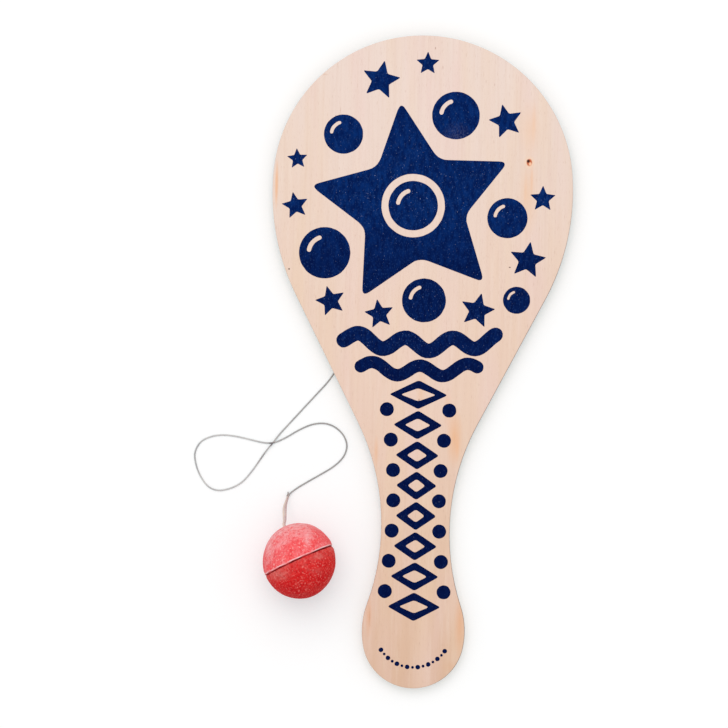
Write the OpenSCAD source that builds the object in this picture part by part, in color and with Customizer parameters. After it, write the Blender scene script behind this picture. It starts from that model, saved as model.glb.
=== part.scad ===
// Paddle ball game: a plywood paddle with a small rubber ball on an elastic string.
// The paddle lies printed face up. It rests on its butt and on the staple under its blade.
// Origin: centre line of the paddle, halfway along its length, on the surface it lies on.
// +Y runs up the paddle to the top of the blade, +X to its right, +Z up. Millimetres.

/* [Paddle outline] */
// Length of the paddle from butt to blade top
paddle_len = 280; // [255:1:305]
// Radius of the round top of the blade
blade_top_r = 64.3; // [58:0.1:71]
// Radius of the flatter sides of the blade
blade_side_r = 98.6; // [90:0.1:108]
// Height above level, seen from the top arc's centre, at which the sides take over
shoulder_angle = 4.7; // [0:0.1:12]
// Lean of the straight flanks between blade and handle
flank_angle = 27.2; // [25:0.1:30]
// Width of the handle at its narrowest
neck_w = 29.3; // [26:0.1:32]
// Width of the handle's bulb at its widest
bulb_w = 44.1; // [40:0.1:48]
// Radius of the bulb's sides
bulb_side_r = 34.3; // [31:0.1:38]
// Distance from the butt to the widest place of the bulb
bulb_at = 24.4; // [22:0.1:27]

/* [Plywood] */
// Thickness of the printed front veneer
front_t = 1.2; // [0.9:0.1:1.5]
// Thickness of the core ply
core_t = 2.6; // [2.2:0.1:3.2]
// Thickness of the back veneer
back_t = 1.2; // [0.9:0.1:1.5]

/* [Staple] */
// Distance from the butt to the middle of the staple
staple_at = 195; // [175:1:212]
// Diameter of the staple's wire
wire_d = 0.9; // [0.7:0.05:1.1]
// Length of the crown over its legs
crown_len = 10; // [8:0.5:12]
// Radius of the wire's centre line at the two corners
crown_bend_r = 0.9; // [0.8:0.05:1.2]
// Length of a leg inside the wood
leg_depth = 3.2; // [2.6:0.1:3.4]
// Length of a leg's point
leg_point = 0.8; // [0.5:0.1:1]

/* [Elastic string] */
// Diameter of the elastic
cord_d = 0.65; // [0.55:0.05:0.8]
// Play between the elastic and what it passes under or through
cord_play = 0.05; // [0.03:0.01:0.1]
// Diameter of the end knot behind the staple
anchor_knot_d = 1.4; // [1.2:0.1:1.5]
// Length of the end knot
anchor_knot_len = 3.6; // [2.5:0.1:5]
// Diameter of the knot that closes the eye outside the ball
outer_knot_d = 2.1; // [1.9:0.1:2.5]
// Length of the tail beyond that knot
knot_tail = 1.0; // [0.8:0.1:2]
// Diameter of the knot inside the ball
inner_knot_d = 3.2; // [2.8:0.1:4.5]

/* [Ball] */
// Diameter of the ball
ball_d = 32; // [29:0.5:35]
// Wall of the hollow ball
ball_wall = 3; // [2:0.1:4]
// Diameter of the string hole
eye_hole_d = 1.6; // [1.6:0.05:2.1]
// Radius of the rolled lip on the half that overlaps the seam
lip_r = 0.5; // [0.3:0.05:0.7]
// How far the lip stands out of the ball's surface
lip_proud = 0.2; // [0.05:0.05:0.25]
// Height of the step by which the two halves fit into each other
lap_h = 1.6; // [1:0.1:2.4]
// How much smaller the plain half is at the seam
seam_step = 0.15; // [0.05:0.05:0.3]
// How far the ball lies to the left of the paddle's centre line
ball_left = 49.4; // [44:0.1:60]
// Distance up the paddle from the butt to the ball
ball_up = 53.9; // [48:0.1:60]
// Heading of the string hole, in degrees left of +Y
hole_heading = 24.3; // [15:0.1:30]
// How far the string hole points below level
hole_dip = 4.7; // [0:0.1:10]

/* [Hidden] */

// Overrun of every cut
over = 1;
// Angle between the points of the outline's arcs
arc_step = 3;
// Gap between the inner knot and the wall that stops it
stop_gap = 0.3;

paddle_t = front_t + core_t + back_t;
ball_r = ball_d / 2;

// Rest of the paddle: it tips up about the butt until the staple's crown carries it.
staple_stand = cord_d + 2 * cord_play + wire_d;
crown_foot_at = staple_at - crown_len / 2 + wire_d / 2 + crown_bend_r;
paddle_pitch = atan(staple_stand / crown_foot_at);

// The elastic leaves the crown on its left side and swivels there.
swivel_left = wire_d / 2 + cord_d;

// Outline: the round stretches of the right-hand side, each arc tangent to the next.
top_c = [0, paddle_len - blade_top_r];
side_c = top_c - (blade_side_r - blade_top_r) * [cos(shoulder_angle), sin(shoulder_angle)];
bulb_c = [bulb_w / 2 - bulb_side_r, bulb_at];
butt_r = (pow(bulb_side_r, 2) - pow(bulb_c.x, 2) - pow(bulb_at, 2)) / (2 * (bulb_side_r - bulb_at));
butt_c = [0, butt_r];
// The neck's arc touches the flank, the neck's width and the bulb, which fixes its radius:
// neck_rise, its centre's height over the bulb's, solves a quadratic.
neck_in = (bulb_w - neck_w) / 2;
rise_a = (1 - cos(flank_angle)) / (2 * neck_in);
rise_k = (1 - cos(flank_angle)) * (bulb_side_r - neck_in / 2)
    + cos(flank_angle) * (neck_w / 2 - side_c.x)
    + sin(flank_angle) * (side_c.y - bulb_at) - blade_side_r;
neck_rise = (sqrt(pow(sin(flank_angle), 2) + 4 * rise_a * rise_k) - sin(flank_angle)) / (2 * rise_a);
neck_r = (pow(neck_rise, 2) + pow(neck_in, 2)) / (2 * neck_in) - bulb_side_r;
neck_c = [neck_w / 2 + neck_r, bulb_at + neck_rise];
// Directions of the two lower tangent points
neck_to_bulb = atan2(neck_c.y - bulb_c.y, neck_c.x - bulb_c.x);
bulb_to_butt = atan2(butt_c.y - bulb_c.y, butt_c.x - bulb_c.x);

function arc(c, r, from, to) =
    let (n = ceil(abs(to - from) / arc_step))
    [for (i = [0:n]) let (a = from + (to - from) * i / n) c + r * [cos(a), sin(a)]];

// The same points without the first, which the arc before it has already set
function past_first(points) = [for (i = [1:len(points) - 1]) points[i]];

right_side = concat(
    past_first(arc(top_c, blade_top_r, 90, shoulder_angle)),
    past_first(arc(side_c, blade_side_r, shoulder_angle, -flank_angle)),
    arc(neck_c, neck_r, 180 - flank_angle, 180 + neck_to_bulb),
    past_first(arc(bulb_c, bulb_side_r, neck_to_bulb, bulb_to_butt)),
    past_first(arc(butt_c, butt_r, bulb_to_butt, -90))
);
outline = concat(
    [[0, paddle_len]], right_side,
    [for (i = [len(right_side) - 2:-1:0]) [-right_side[i].x, right_side[i].y]]
);

// Ball's pose
ball_c = [-ball_left, ball_up - paddle_len / 2,
    lip_ring_r() * cos(hole_dip) + lip_r * sin(hole_dip) + lip_r];
hole_dir = [-sin(hole_heading) * cos(hole_dip), cos(hole_heading) * cos(hole_dip), -sin(hole_dip)];
function lip_ring_r() = ball_r + lip_proud - lip_r;
function on_hole_axis(along) = ball_c + along * hole_dir;

// Route of the elastic from the swivel under the blade to the split in its straight run,
// along which it stretches
TETHER_ROUTE = [
    [-1.55, 54.5, 1.2], [-4.5, 49.4, 1.0], [-9.5, 40.8, 0.7], [-15.0, 31.2, 0.5],
    [-20.5, 21.7, 0.3], [-26.0, 12.1, 0.3], [-31.2, 3.1, 0.3], [-35.6, -4.4, 0.3],
    [-38.4, -8.6, 0.3], [-40.4, -11.1, 0.3], [-45.47, -16.8, 0.3], [-50.53, -22.5, 0.3],
    [-55.6, -28.2, 0.3]
];
// Route from the split over the crossing, round the curl and back to the outer knot
CURL_ROUTE = [
    [-55.6, -28.2, 0.3], [-58.6, -31.6, 0.5], [-60.8, -34.4, 0.85], [-62.4, -36.6, 1.05],
    [-63.9, -38.4, 0.85], [-65.5, -40.6, 0.5], [-68.2, -44.7, 0.3], [-71.2, -49.0, 0.3],
    [-74.9, -53.2, 0.3], [-79.6, -55.9, 0.3], [-85.0, -57.0, 0.3], [-89.5, -55.3, 0.3],
    [-93.1, -50.5, 0.3], [-95.1, -45.0, 0.3], [-95.3, -40.6, 0.3], [-93.0, -36.4, 0.3],
    [-88.9, -34.1, 0.3], [-83.7, -33.2, 0.3], [-77.6, -33.7, 0.3], [-70.9, -35.1, 0.3],
    [-65.8, -36.1, 0.3], [-61.2, -35.9, 0.3], [-56.1, -33.5, 0.3], [-51.0, -30.4, 0.3],
    [-45.4, -27.9, 0.3], [-40.0, -27.3, 0.3], [-35.3, -28.9, 0.3], [-31.6, -32.5, 0.3],
    [-30.2, -37.0, 0.3], [-31.7, -41.6, 0.3], [-35.6, -45.6, 0.3], [-41.0, -49.1, 0.3],
    [-46.2, -52.2, 0.3], [-50.7, -55.0, 0.3], [-53.4, -57.0, 0.5], [-54.3, -57.9, 0.8]
];
// Outer knot, and the heading of its tail
OUTER_KNOT = [-54.9, -58.4, 1.05];
KNOT_TAIL_DIR = [-0.15, 1, 0];
// Middle line of the eye's two strands, from the outer knot up to the string hole
EYE_ROUTE = [
    [-55.05, -59.2, 1.75], [-55.3, -60.0, 2.9], [-55.8, -61.6, 5.0], [-56.2, -63.8, 8.0],
    [-56.2, -66.3, 11.2], [-56.05, -68.8, 13.5]
];
// Places along the hole's axis that the strands pass, outside and inside the wall
eye_out = ball_r + cord_d;
eye_in = ball_r - ball_wall - stop_gap - inner_knot_d / 2;
eye_centre_line = concat(EYE_ROUTE,
    [for (along = [eye_out, ball_r - ball_wall, eye_in]) on_hole_axis(along)]);
strand_apart = cord_d + cord_play;

// Sides of the elastic's tube
CORD_SIDES = 8;

function unit(v) = v / norm(v);
// Catmull-Rom point between p1 and p2
function between(p0, p1, p2, p3, t) =
    0.5 * (2 * p1 + (p2 - p0) * t + (2 * p0 - 5 * p1 + 4 * p2 - p3) * t * t
    + (3 * p1 - p0 - 3 * p2 + p3) * t * t * t);
function smooth(route, steps) = concat(
    [for (i = [0:len(route) - 2], k = [0:steps - 1])
        between(route[max(i - 1, 0)], route[i], route[i + 1], route[min(i + 2, len(route) - 1)], k / steps)],
    [route[len(route) - 1]]);
// The same route, nowhere lower than the string lies on the surface
function laid(route) = [for (p = route) [p.x, p.y, max(p.z, cord_d / 2)]];
function tangent(route, i) = unit(route[min(i + 1, len(route) - 1)] - route[max(i - 1, 0)]);
// Level direction square to a route
function level_side(along) = unit(cross([0, 0, 1], along));
function ring(centre, along, d) =
    let (side = level_side(along), up = cross(along, side))
    [for (k = [0:CORD_SIDES - 1]) let (a = 360 * k / CORD_SIDES)
        centre + d / 2 * (cos(a) * side + sin(a) * up)];

// A tube of diameter d through every point of a route
module tube(route, d) {
    n = len(route);
    points = [for (i = [0:n - 1]) each ring(route[i], tangent(route, i), d)];
    walls = [for (i = [0:n - 2], k = [0:CORD_SIDES - 1])
        let (a = i * CORD_SIDES + k, b = i * CORD_SIDES + (k + 1) % CORD_SIDES)
        each [[a, a + CORD_SIDES, b], [b, a + CORD_SIDES, b + CORD_SIDES]]];
    start = [for (k = [0:CORD_SIDES - 1]) k];
    end = [for (k = [CORD_SIDES - 1:-1:0]) (n - 1) * CORD_SIDES + k];
    polyhedron(points, concat([start], walls, [end]));
}

// Places its children on the paddle: x on the centre line, y from the butt, z from the back face
module on_paddle() {
    translate([0, -paddle_len / 2, 0]) rotate([paddle_pitch, 0, 0]) children();
}

// Places its children on the ball, with +Z along the string hole
module on_ball() {
    translate(ball_c) rotate([0, 0, hole_heading]) rotate([-90 - hole_dip, 0, 0]) children();
}

module ply(bottom, t) {
    translate([0, 0, bottom]) linear_extrude(t) polygon(outline);
}

// The two holes that the staple's legs make
module leg_holes() {
    for (side = [-1, 1])
        translate([0, staple_at + side * (crown_len - wire_d) / 2, -over])
            cylinder(d = wire_d, h = over + leg_depth - leg_point, $fn = 32);
}

module leg_point_holes() {
    for (side = [-1, 1])
        translate([0, staple_at + side * (crown_len - wire_d) / 2, leg_depth - leg_point])
            cylinder(d1 = wire_d, d2 = 0, h = leg_point, $fn = 32);
}

module front_veneer() {
    color("#EBD3C3") on_paddle() ply(back_t + core_t, front_t);
}

module core_ply() {
    color("#D9B891") on_paddle() difference() {
        ply(back_t, core_t);
        leg_holes();
        leg_point_holes();
    }
}

module back_veneer() {
    color("#E6CBB8") on_paddle() difference() {
        ply(0, back_t);
        leg_holes();
    }
}

// Half of the staple, from the middle of the crown to the point of one leg
module half_staple() {
    crown_z = wire_d / 2 - staple_stand;
    leg_y = (crown_len - wire_d) / 2;
    corner_y = leg_y - crown_bend_r;
    translate([0, 0, crown_z]) rotate([-90, 0, 0]) cylinder(d = wire_d, h = corner_y, $fn = 32);
    translate([0, corner_y, crown_z + crown_bend_r]) rotate([0, 90, 0])
        rotate_extrude(angle = 90, $fn = 64) translate([crown_bend_r, 0]) circle(d = wire_d, $fn = 32);
    translate([0, leg_y, crown_z + crown_bend_r])
        cylinder(d = wire_d, h = leg_depth - leg_point - crown_z - crown_bend_r, $fn = 32);
    translate([0, leg_y, leg_depth - leg_point]) cylinder(d1 = wire_d, d2 = 0, h = leg_point, $fn = 32);
}

module staple() {
    color("#B9BCC0") on_paddle() translate([0, staple_at, 0]) {
        half_staple();
        mirror([0, 1, 0]) half_staple();
    }
}

// A rod with round ends along +Y, centred
module pill(d, long) {
    rotate([90, 0, 0]) cylinder(d = d, h = long - d, center = true, $fn = 32);
    for (side = [-1, 1]) translate([0, side * (long - d) / 2, 0]) sphere(d = d, $fn = 32);
}

// The elastic's fixed end: a knot to the right of the crown and the stretch under the crown
module anchor_knot() {
    knot_x = wire_d / 2 + cord_play + anchor_knot_d / 2;
    color("#CDB49C") on_paddle() translate([0, staple_at, 0]) {
        translate([knot_x, 0, -cord_play - anchor_knot_d / 2]) pill(anchor_knot_d, anchor_knot_len);
        translate([-swivel_left, 0, -cord_play - cord_d / 2]) rotate([0, 90, 0])
            cylinder(d = cord_d, h = knot_x + swivel_left, $fn = 32);
    }
}

module tether_elastic() {
    color("#CDB49C") tube(laid(TETHER_ROUTE), cord_d);
}

module curl_elastic() {
    color("#CDB49C") tube(laid(smooth(CURL_ROUTE, 2)), cord_d);
}

module outer_knot() {
    tail_dir = unit(KNOT_TAIL_DIR);
    color("#C8A88E") {
        translate(OUTER_KNOT) sphere(d = outer_knot_d, $fn = 48);
        translate(OUTER_KNOT + (outer_knot_d / 2 + knot_tail / 2 - cord_d / 2) * tail_dir
            - [0, 0, (outer_knot_d - cord_d) / 4])
            rotate([0, 0, atan2(-tail_dir.x, tail_dir.y)]) pill(cord_d, knot_tail + cord_d);
    }
}

module eye_strands() {
    color("#C8A88E") for (side = [-1, 1])
        tube([for (i = [0:len(eye_centre_line) - 1])
            eye_centre_line[i] + side * strand_apart / 2 * level_side(tangent(eye_centre_line, i))], cord_d);
}

module inner_knot() {
    color("#C8A88E") translate(on_hole_axis(eye_in)) sphere(d = inner_knot_d, $fn = 48);
}

// Right half of a disc, from the ball's axis outwards
module half_disc(r) {
    intersection() {
        circle(r, $fn = 128);
        translate([0, -r]) square([r, 2 * r]);
    }
}

lap_r = ball_r - ball_wall / 2;

module ball_eyed_half() {
    color("#E5585A") on_ball() rotate_extrude($fn = 128) difference() {
        union() {
            intersection() {
                half_disc(ball_r);
                square([ball_r + over, ball_r + over]);
            }
            translate([lip_ring_r(), lip_r]) circle(lip_r, $fn = 32);
        }
        half_disc(ball_r - ball_wall);
        translate([0, -over]) square([lap_r, over + lap_h]);
        translate([0, ball_r - ball_wall - over]) square([eye_hole_d / 2, ball_wall + 2 * over]);
    }
}

module ball_plain_half() {
    color("#C92F2E") on_ball() rotate_extrude($fn = 128) difference() {
        union() {
            intersection() {
                half_disc(ball_r - seam_step);
                translate([0, -ball_r]) square([ball_r, ball_r]);
            }
            square([lap_r, lap_h]);
        }
        half_disc(ball_r - ball_wall);
        square([lap_r - ball_wall / 2, lap_h + over]);
    }
}

front_veneer();
core_ply();
back_veneer();
staple();
anchor_knot();
tether_elastic();
curl_elastic();
outer_knot();
eye_strands();
inner_knot();
ball_eyed_half();
ball_plain_half();
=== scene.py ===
from math import atan, atan2, ceil, cos, pi, radians, sin, sqrt

import bmesh
import bpy
from mathutils import Matrix, Vector, noise


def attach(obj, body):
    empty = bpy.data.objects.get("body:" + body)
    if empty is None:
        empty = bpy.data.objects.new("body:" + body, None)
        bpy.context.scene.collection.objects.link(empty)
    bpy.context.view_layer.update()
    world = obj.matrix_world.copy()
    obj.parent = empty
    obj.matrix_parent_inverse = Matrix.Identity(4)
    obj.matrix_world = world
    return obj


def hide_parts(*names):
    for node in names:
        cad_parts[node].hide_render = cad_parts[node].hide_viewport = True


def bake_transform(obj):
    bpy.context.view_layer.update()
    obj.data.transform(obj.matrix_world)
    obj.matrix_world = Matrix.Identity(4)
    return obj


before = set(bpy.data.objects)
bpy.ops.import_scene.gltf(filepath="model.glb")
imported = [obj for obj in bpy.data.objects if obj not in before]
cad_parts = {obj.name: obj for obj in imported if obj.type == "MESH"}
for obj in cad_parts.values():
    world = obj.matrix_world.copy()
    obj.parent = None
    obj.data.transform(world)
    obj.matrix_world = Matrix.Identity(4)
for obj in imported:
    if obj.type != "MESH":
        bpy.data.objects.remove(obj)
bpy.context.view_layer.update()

# Sizes shared with the CAD source, in millimetres and degrees
MM = 0.001
PADDLE_LEN = 280.0
BLADE_TOP_R = 64.3
BLADE_SIDE_R = 98.6
SHOULDER_ANGLE = 4.7
FLANK_ANGLE = 27.2
NECK_W = 29.3
BULB_W = 44.1
BULB_SIDE_R = 34.3
BULB_AT = 24.4
FRONT_T = 1.2
CORE_T = 2.6
BACK_T = 1.2
PADDLE_T = FRONT_T + CORE_T + BACK_T
STAPLE_AT = 195.0
WIRE_D = 0.9
CROWN_LEN = 10.0
CROWN_BEND_R = 0.9
CORD_D = 0.65
CORD_PLAY = 0.05
ANCHOR_KNOT_D = 1.4
ANCHOR_KNOT_LEN = 3.6
OUTER_KNOT_D = 2.1
KNOT_TAIL = 1.0
INNER_KNOT_D = 3.2
BALL_R = 16.0
BALL_WALL = 3.0
EYE_HOLE_D = 1.6
LIP_R = 0.5
LIP_PROUD = 0.2
LAP_H = 1.6
SEAM_STEP = 0.15
BALL_CENTRE = (-49.4, -86.1, 16.188)
HOLE_HEADING = 24.3
HOLE_DIP = 4.7
STOP_GAP = 0.3


def put(name, data):
    """An object in the scene with the data given."""
    made = bpy.data.objects.new(name, data)
    bpy.context.scene.collection.objects.link(made)
    return made


# Camera: straight down, with the photograph's frame 312.16 mm wide at the paddle's face
CAMERA_AT = (-0.0236, -0.00137, 2.4)
CAMERA_TURN = radians(1.2376)
FRAME_WIDE = 0.31216
FRAME_LEVEL = 0.006
SENSOR = 36.0

camera_data = bpy.data.cameras.new("camera")
camera_data.sensor_width = SENSOR
camera_data.lens = (CAMERA_AT[2] - FRAME_LEVEL) * SENSOR / FRAME_WIDE
camera = put("camera", camera_data)
camera.location = CAMERA_AT
camera.rotation_euler = (0, 0, CAMERA_TURN)
bpy.context.scene.camera = camera


# Meshes
def set_right(mesh, weld=0):
    """Joins a mesh's points that lie closer than weld, and turns its faces outwards."""
    made = bmesh.new()
    made.from_mesh(mesh)
    if weld:
        bmesh.ops.remove_doubles(made, verts=made.verts, dist=weld)
    bmesh.ops.recalc_face_normals(made, faces=made.faces)
    made.to_mesh(mesh)
    made.free()


def mesh_piece(name, points, faces, smooth_under=35):
    """A mesh object from points in metres, smooth but for edges sharper than the angle."""
    mesh = bpy.data.meshes.new(name)
    mesh.from_pydata([tuple(p) for p in points], [], faces)
    mesh.polygons.foreach_set("use_smooth", [True] * len(mesh.polygons))
    set_right(mesh)
    mesh.set_sharp_from_angle(angle=radians(smooth_under))
    return put(name, mesh)


def bridge(rings, loop=False):
    """Faces between equal rings of points that follow each other, with end caps unless they loop."""
    count = len(rings[0])
    rows = len(rings)
    faces = []
    for row in range(rows if loop else rows - 1):
        low = row * count
        high = (row + 1) % rows * count
        for k in range(count):
            after = (k + 1) % count
            faces.append((low + k, low + after, high + after, high + k))
    if not loop:
        faces.append(tuple(range(count - 1, -1, -1)))
        faces.append(tuple(range((rows - 1) * count, rows * count)))
    return faces


def dress(piece, body, material, slot, *nodes):
    """Gives a piece its material and its body, and hides the CAD nodes that it stands for. Its slot is
    not used.
    """
    piece.data.materials.append(material)
    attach(piece, body)
    if nodes:
        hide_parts(*nodes)


# Routes of the elastic in metres, as in the CAD source
RESTING_Z = 0.3


def metres(points):
    """Points in metres. Those without a height lie on the surface."""
    return [Vector((*p, RESTING_Z)[:3]) * MM for p in points]


SWIVEL = (-1.2, 54.996, 1.28)
TETHER_ROUTE = metres([
    SWIVEL, (-1.55, 54.5, 1.2), (-4.5, 49.4, 1.0), (-9.5, 40.8, 0.7), (-15.0, 31.2, 0.5), (-20.5, 21.7),
    (-26.0, 12.1), (-31.2, 3.1), (-35.6, -4.4), (-38.4, -8.6), (-40.4, -11.1), (-45.47, -16.8),
    (-50.53, -22.5), (-55.6, -28.2),
])
CURL_ROUTE = metres([
    (-55.6, -28.2), (-58.6, -31.6, 0.5), (-60.8, -34.4, 0.85), (-62.4, -36.6, 1.05),
    (-63.9, -38.4, 0.85), (-65.5, -40.6, 0.5), (-68.2, -44.7), (-71.2, -49.0), (-74.9, -53.2),
    (-79.6, -55.9), (-85.0, -57.0), (-89.5, -55.3), (-93.1, -50.5), (-95.1, -45.0), (-95.3, -40.6),
    (-93.0, -36.4), (-88.9, -34.1), (-83.7, -33.2), (-77.6, -33.7), (-70.9, -35.1), (-65.8, -36.1),
    (-61.2, -35.9), (-56.1, -33.5), (-51.0, -30.4), (-45.4, -27.9), (-40.0, -27.3), (-35.3, -28.9),
    (-31.6, -32.5), (-30.2, -37.0), (-31.7, -41.6), (-35.6, -45.6), (-41.0, -49.1), (-46.2, -52.2),
    (-50.7, -55.0), (-53.4, -57.0, 0.5), (-54.3, -57.9, 0.8),
])
OUTER_KNOT = Vector((-54.9, -58.4, 1.05)) * MM
KNOT_TAIL_DIR = Vector((-0.15, 1, 0)).normalized()
EYE_ROUTE = metres([
    (-55.05, -59.2, 1.75), (-55.3, -60.0, 2.9), (-55.8, -61.6, 5.0), (-56.2, -63.8, 8.0),
    (-56.2, -66.3, 11.2), (-56.05, -68.8, 13.5),
])
heading = radians(HOLE_HEADING)
dip = radians(HOLE_DIP)
HOLE_DIR = Vector((-sin(heading) * cos(dip), cos(heading) * cos(dip), -sin(dip)))
UP = Vector((0, 0, 1))


def on_hole_axis(along):
    return (Vector(BALL_CENTRE) + along * HOLE_DIR) * MM


def smooth(route, steps, lowest=CORD_D / 2 * MM):
    """A Catmull-Rom curve through the route's points, nowhere below the resting height."""
    made = []
    last = len(route) - 1
    for i in range(last):
        p0, p1 = route[max(i - 1, 0)], route[i]
        p2, p3 = route[i + 1], route[min(i + 2, last)]
        for k in range(steps):
            t = k / steps
            made.append(0.5 * (
                2 * p1 + (p2 - p0) * t + (2 * p0 - 5 * p1 + 4 * p2 - p3) * t * t
                + (3 * p1 - p0 - 3 * p2 + p3) * t * t * t
            ))
    made.append(route[last].copy())
    for p in made:
        p.z = max(p.z, lowest)
    return made


def tangents(route):
    last = len(route) - 1
    return [
        (route[min(i + 1, last)] - route[max(i - 1, 0)]).normalized() for i in range(last + 1)
    ]


TUBE_SIDES = 12


def tube_rings(route, radius, flat):
    """Rings square to a route. Their start angle turns as little as it can along the way.

    A list of factors widens them level, one for each point."""
    rings = []
    side = None
    for i, (centre, along) in enumerate(zip(route, tangents(route))):
        wide = flat[i] if flat else 1
        if side is None:
            side = UP.cross(along)
        side = (side - along * side.dot(along)).normalized()
        up = along.cross(side)
        rings.append([
            centre + radius * (wide * cos(turn) * side + sin(turn) * up)
            for turn in [2 * pi * k / TUBE_SIDES for k in range(TUBE_SIDES)]
        ])
    return rings


def tubes(name, routes, radius, flat=None):
    """One mesh of closed tubes, one along each route."""
    points = []
    faces = []
    for route in routes:
        rings = tube_rings(route, radius, flat)
        first = len(points)
        points += [p for ring in rings for p in ring]
        faces += [tuple(first + i for i in face) for face in bridge(rings)]
    return mesh_piece(name, points, faces, smooth_under=60)


# Materials
def srgb(red, green, blue):
    """The linear colour of an sRGB one from 0 to 255."""
    parts = [part / 255 for part in (red, green, blue)]
    return (*[p / 12.92 if p <= 0.04045 else ((p + 0.055) / 1.055) ** 2.4 for p in parts], 1)


class Look:
    """A procedural material, with short calls that add nodes before its Principled shader."""

    def __init__(self, name, roughness, specular=0.5, metallic=0):
        self.material = bpy.data.materials.new(name)
        self.material.use_nodes = True
        self.tree = self.material.node_tree
        self.shader = self.tree.nodes["Principled BSDF"]
        plain = {"Roughness": roughness, "Specular IOR Level": specular, "Metallic": metallic}
        for socket, value in plain.items():
            self.shader.inputs[socket].default_value = value
        self.here = self.add("ShaderNodeTexCoord").outputs["Object"]

    def add(self, kind, feeds=None, **settings):
        """A new node. Feeds are sources or plain values for its inputs, by name or number."""
        node = self.tree.nodes.new(kind)
        for setting, value in settings.items():
            setattr(node, setting, value)
        for socket, value in (feeds or {}).items():
            self.feed(node.inputs[socket], value)
        return node

    def feed(self, socket, value):
        """Links a socket to its source, or sets it to a plain value."""
        if isinstance(value, bpy.types.NodeSocket):
            self.tree.links.new(value, socket)
        else:
            socket.default_value = value

    def noise(self, size, detail=2.0, seed=0.0, place=None):
        """Noise from 0 to 1 whose patches are about size = (x, y, z) millimetres."""
        scale = [1 / (s * MM) for s in size]
        feeds = {"Vector": place or self.here, "Location": [seed] * 3, "Scale": scale}
        moved = self.add("ShaderNodeMapping", feeds).outputs["Vector"]
        feeds = {"Vector": moved, "Scale": 1, "Detail": detail}
        return self.add("ShaderNodeTexNoise", feeds).outputs["Fac"]

    def spread(self, value, low, high, start=0.0, end=1.0):
        """Maps low to start and high to end, and holds both beyond."""
        feeds = {"Value": value, "From Min": low, "From Max": high, "To Min": start, "To Max": end}
        return self.add("ShaderNodeMapRange", feeds).outputs["Result"]

    def maths(self, operation, a, b):
        return self.add("ShaderNodeMath", {0: a, 1: b}, operation=operation).outputs["Value"]

    def times(self, a, b):
        return self.maths("MULTIPLY", a, b)

    def mix(self, factor, a, b):
        return self.add("ShaderNodeMix", {0: factor, 6: a, 7: b}, data_type="RGBA").outputs[2]

    def patch(self, colour, pattern, low, high, strength, tone):
        """Lays a tone on a colour, from none where a pattern is low to a strength where it is high."""
        return self.mix(self.spread(pattern, low, high, 0, strength), colour, srgb(*tone))

    def tint(self, colour, mask, strength, tone):
        """Lays a tone on a colour as strongly as a mask says, times a strength."""
        return self.mix(self.times(mask, strength), colour, srgb(*tone))

    def layer(self, colour, size, detail, seed, *laid, place=None):
        """Lays a tone on a colour in patches of noise, and gives the new colour and the noise."""
        pattern = self.noise(size, detail, seed, place)
        return self.patch(colour, pattern, *laid), pattern

    def stops(self, value, colours):
        """A colour ramp with (place, colour) stops."""
        node = self.add("ShaderNodeValToRGB", {"Fac": value})
        ramp = node.color_ramp
        ramp.elements[0].position, ramp.elements[0].color = colours[0]
        ramp.elements[1].position, ramp.elements[1].color = colours[-1]
        for position, colour in colours[1:-1]:
            ramp.elements.new(position).color = colour
        return node.outputs["Color"]

    def axis(self, name, place=None):
        return self.add("ShaderNodeSeparateXYZ", {"Vector": place or self.here}).outputs[name]

    def local(self, **inputs):
        """Coordinates in a frame with the Location, Rotation and Scale given."""
        feeds = {"Vector": self.here, **inputs}
        return self.add("ShaderNodeMapping", feeds, vector_type="TEXTURE").outputs["Vector"]

    def spot(self, x, y, wide, high, soft):
        """1 in an upright oval about (x, y) millimetres, fading to 0 at its rim over soft."""
        place = self.local(Location=(x * MM, y * MM, 0), Scale=(wide * MM, high * MM, 1))
        length = self.add("ShaderNodeVectorMath", {0: place}, operation="LENGTH")
        return self.spread(length.outputs["Value"], 1 - soft, 1, 1, 0)

    def finished(self, colour, height, depth, roughness=None):
        """The material, with its colour and with relief depth millimetres deep at a height of 1."""
        feeds = {"Strength": 1, "Distance": depth * MM, "Height": height}
        relief = self.add("ShaderNodeBump", feeds).outputs["Normal"]
        self.feed(self.shader.inputs["Base Color"], colour)
        self.feed(self.shader.inputs["Normal"], relief)
        if roughness:
            self.feed(self.shader.inputs["Roughness"], roughness)
        return self.material


# Soiling of the elastic: none and full at these places along X in metres
SOILED_FROM = -0.072
SOILED_TO = -0.048
SOILED_MOST = 0.75
# Spots on the elastic: x, y, half width, half height, softness
RISING_SPOT = (-66.5, -42.5, 6.0, 5.5, 0.9)
# Painted shade where the elastic crosses itself: its spot, strength and tone
CROSSING_SPOT = (-62.4, -36.6, 1.9, 1.6, 0.7)
CROSSING_SHADE = 0.8
CROSSING_TONE = (98, 86, 92)
FAR_BEND_SPOT = (-97.0, -40.0, 8, 15, 0.7)
FAR_BEND_DULLED = 0.6
FAR_BEND_TONE = (152, 150, 152)
ELASTIC_DUST = (226, 218, 208)


def soiled_and_shaded_colour(look, colour, tone):
    """Darkens the elastic near the neck and at its far bend, and paints shade where it crosses itself.
    """
    handled = look.spread(look.axis("X"), SOILED_FROM, SOILED_TO, 0, SOILED_MOST)
    rising = look.times(look.spot(*RISING_SPOT), SOILED_MOST)
    colour = look.mix(look.maths("MAXIMUM", handled, rising), colour, srgb(*tone))
    # Painted shade where the elastic crosses itself
    colour = look.tint(colour, look.spot(*CROSSING_SPOT), CROSSING_SHADE, CROSSING_TONE)
    return look.tint(colour, look.spot(*FAR_BEND_SPOT), FAR_BEND_DULLED, FAR_BEND_TONE)


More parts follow.
